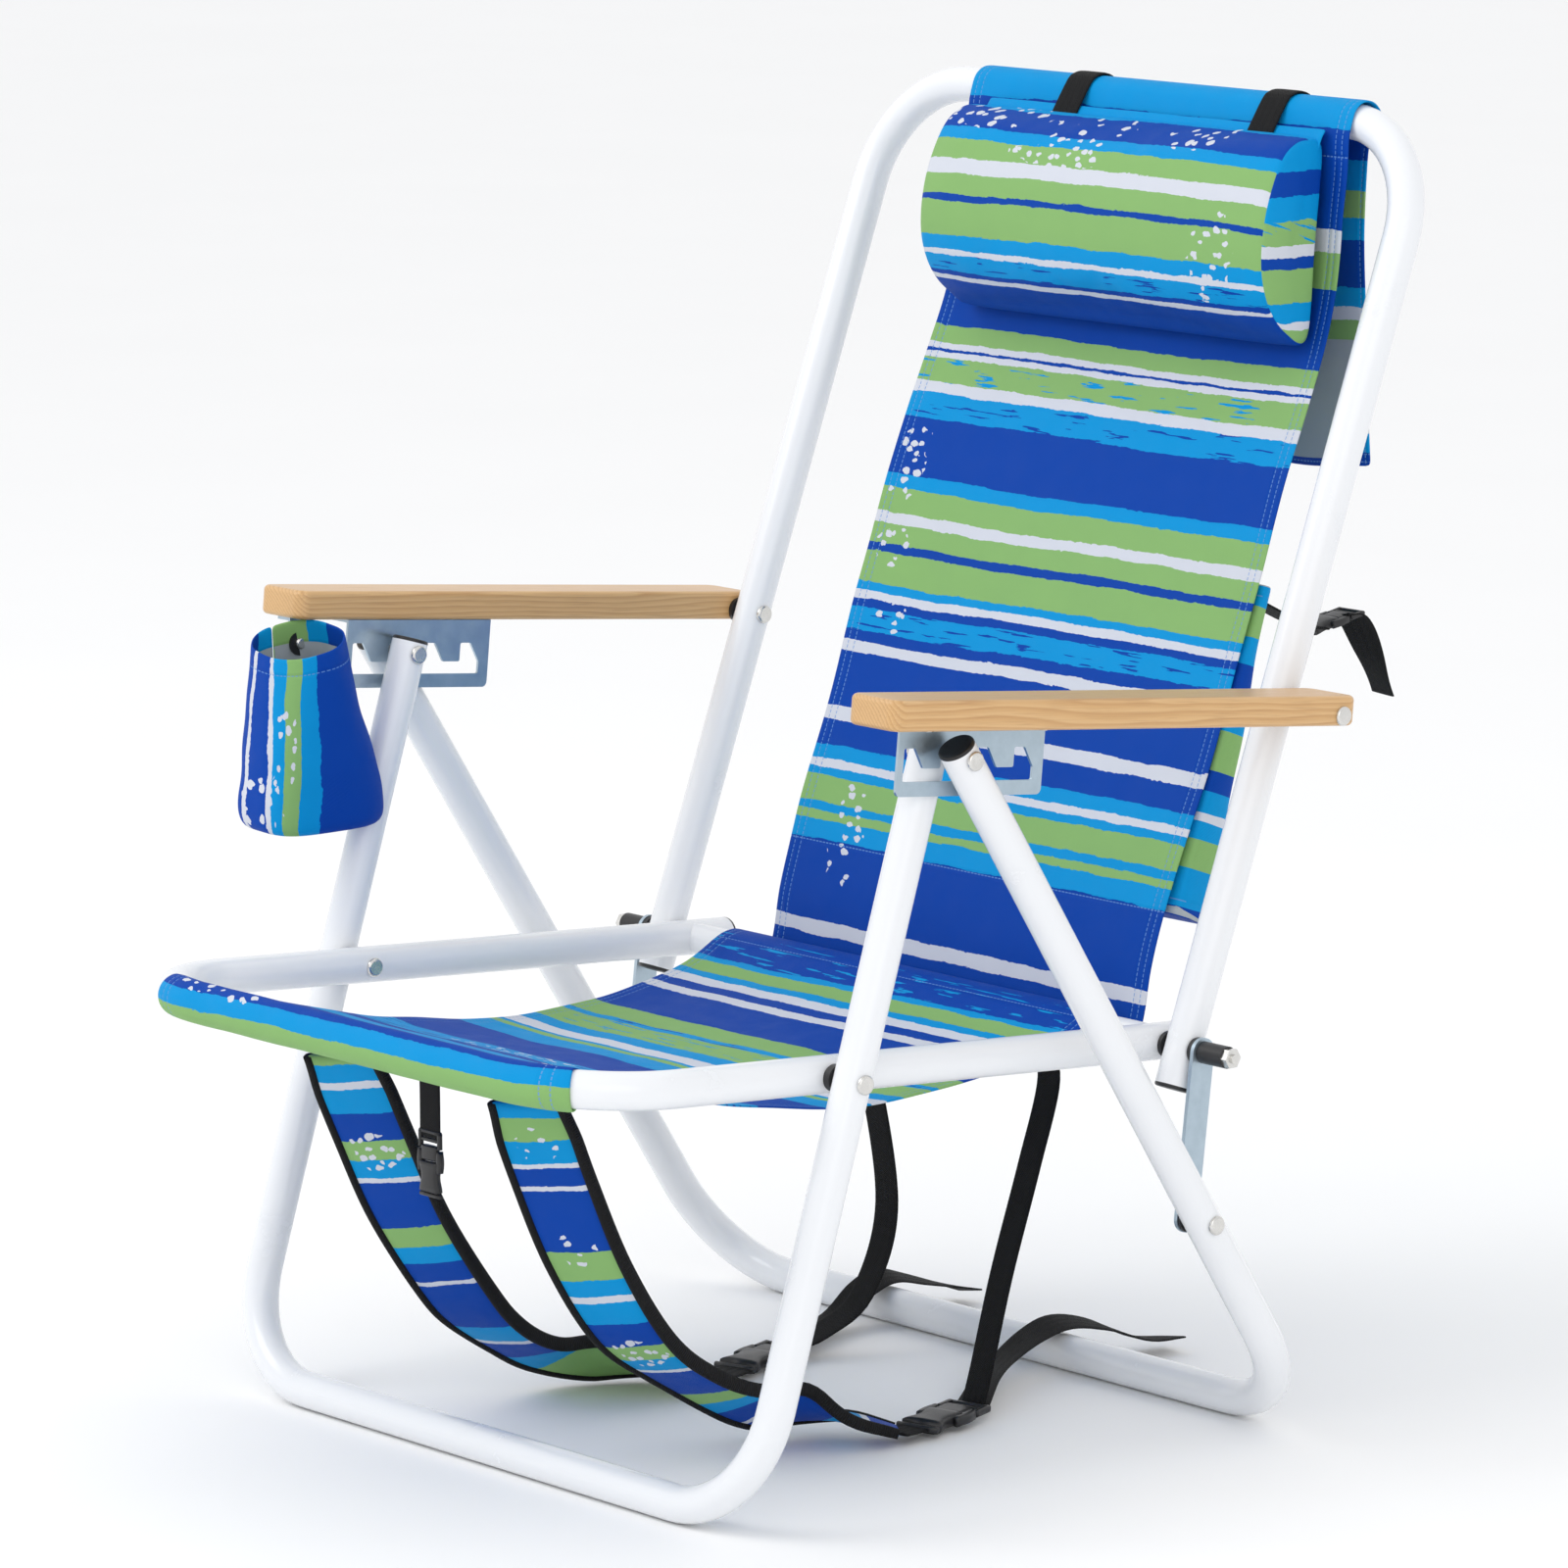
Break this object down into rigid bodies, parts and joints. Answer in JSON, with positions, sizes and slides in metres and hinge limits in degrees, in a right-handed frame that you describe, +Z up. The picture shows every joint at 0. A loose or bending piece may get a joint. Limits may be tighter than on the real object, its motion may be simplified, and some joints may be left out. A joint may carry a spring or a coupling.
{
  "type": "folding beach chair",
  "caption": "Low folding beach chair with a sling seat and back, notched wooden armrests, head pillow, cup pouch, storage bag and carrying straps.",
  "frame": {"origin": "on the floor under the middle of the chair's outer box", "axes": "+Z up, the sitter faces -Y, +X is the sitter's left"},
  "size_m": [0.669, 0.7424, 0.8818],
  "materials": {
    "white_tube": "gloss white powder coat",
    "black_plastic": "moulded, fine satin",
    "nickel_steel": "bright nickel plate",
    "zinc_steel": "blue zinc plate",
    "armrest_wood": "clear satin varnish on pale hardwood",
    "striped_cloth": "printed polyester with blue, green and white stripes",
    "black_webbing": "ribbed polypropylene webbing"
  },
  "bodies": {
    "seat": {"seat_frame": "white_tube", "seat_rail_caps": "black_plastic", "seat_cross_tube": "white_tube", "cross_tube_plugs": "black_plastic", "back_pivot_bolts": "nickel_steel", "back_pivot_washers": "black_plastic", "leg_stop_sleeves": "black_plastic", "back_pivot_nuts": "nickel_steel", "front_leg_rivets": "nickel_steel", "front_leg_spacers": "black_plastic", "back_pivot_bushes": "black_plastic", "seat_sling": "striped_cloth", "shoulder_strap_left": "striped_cloth", "shoulder_strap_right": "striped_cloth", "strap_webbing_left": "black_webbing", "strap_webbing_right": "black_webbing", "strap_buckles": "black_plastic", "centre_strap": "black_webbing", "centre_buckle": "black_plastic"},
    "back": {"back_frame": "white_tube", "back_frame_caps": "black_plastic", "back_sling": "striped_cloth", "head_pillow": "striped_cloth", "pillow_hangers": "black_webbing", "storage_bag": "striped_cloth", "storage_lid": "striped_cloth", "storage_strap": "black_webbing", "armrest_rivets": "nickel_steel", "armrest_bushes": "black_plastic"},
    "armrest_left_body": {"armrest_left": "armrest_wood", "bracket_left": "zinc_steel", "bracket_screws_left": "nickel_steel"},
    "armrest_right_body": {"armrest_right": "armrest_wood", "bracket_right": "zinc_steel", "bracket_screws_right": "nickel_steel", "pouch_hanger": "zinc_steel", "cup_pouch": "striped_cloth", "pouch_screw": "nickel_steel", "pouch_washer": "black_plastic"},
    "front_leg": {"front_leg_frame": "white_tube", "front_leg_caps": "black_plastic", "notch_pins": "nickel_steel"},
    "rear_leg": {"rear_leg_frame": "white_tube", "rear_leg_caps": "black_plastic", "rear_leg_rivets": "nickel_steel", "link_rivets": "nickel_steel", "link_spacers": "black_plastic"},
    "link_left_body": {"link_left": "zinc_steel", "link_head_left": "nickel_steel"},
    "link_right_body": {"link_right": "zinc_steel", "link_head_right": "nickel_steel"}
  },
  "joints": [
    {"name": "fold", "type": "hinge", "parent": "seat", "child": "front_leg", "pos_m": [0, -0.16021, 0.28869], "axis": [1, 0, 0], "range_deg": [0, 88]},
    {"name": "rear_leg_fold", "type": "hinge", "parent": "front_leg", "child": "rear_leg", "pos_m": [0, -0.09514, 0.4945], "axis": [1, 0, 0], "range_deg": [-45.19, 1]},
    {"name": "link_fold_left", "type": "hinge", "parent": "seat", "child": "link_left_body", "pos_m": [0.2865, 0.13196, 0.2698], "axis": [1, 0, 0], "range_deg": [-80.11, 1]},
    {"name": "link_fold_right", "type": "hinge", "parent": "seat", "child": "link_right_body", "pos_m": [-0.2865, 0.13196, 0.2698], "axis": [1, 0, 0], "range_deg": [-80.11, 1]},
    {"name": "back_fold", "type": "hinge", "parent": "seat", "child": "back", "pos_m": [0, 0.13196, 0.2698], "axis": [1, 0, 0], "range_deg": [-1, 87.68]},
    {"name": "armrest_fold_left", "type": "hinge", "parent": "back", "child": "armrest_left_body", "pos_m": [0.308, 0.21446, 0.491], "axis": [1, 0, 0], "range_deg": [-87.68, 1]},
    {"name": "armrest_fold_right", "type": "hinge", "parent": "back", "child": "armrest_right_body", "pos_m": [-0.308, 0.21446, 0.491], "axis": [1, 0, 0], "range_deg": [-87.68, 1]}
  ],
  "couplings": [
    {"joint": "rear_leg_fold", "follows": "fold", "ratio": -0.5022},
    {"joint": "link_fold_left", "follows": "fold", "ratio": -0.899},
    {"joint": "link_fold_right", "follows": "fold", "ratio": -0.899},
    {"joint": "back_fold", "follows": "fold", "ratio": 0.985},
    {"joint": "armrest_fold_left", "follows": "fold", "ratio": -0.985},
    {"joint": "armrest_fold_right", "follows": "fold", "ratio": -0.985}
  ]
}
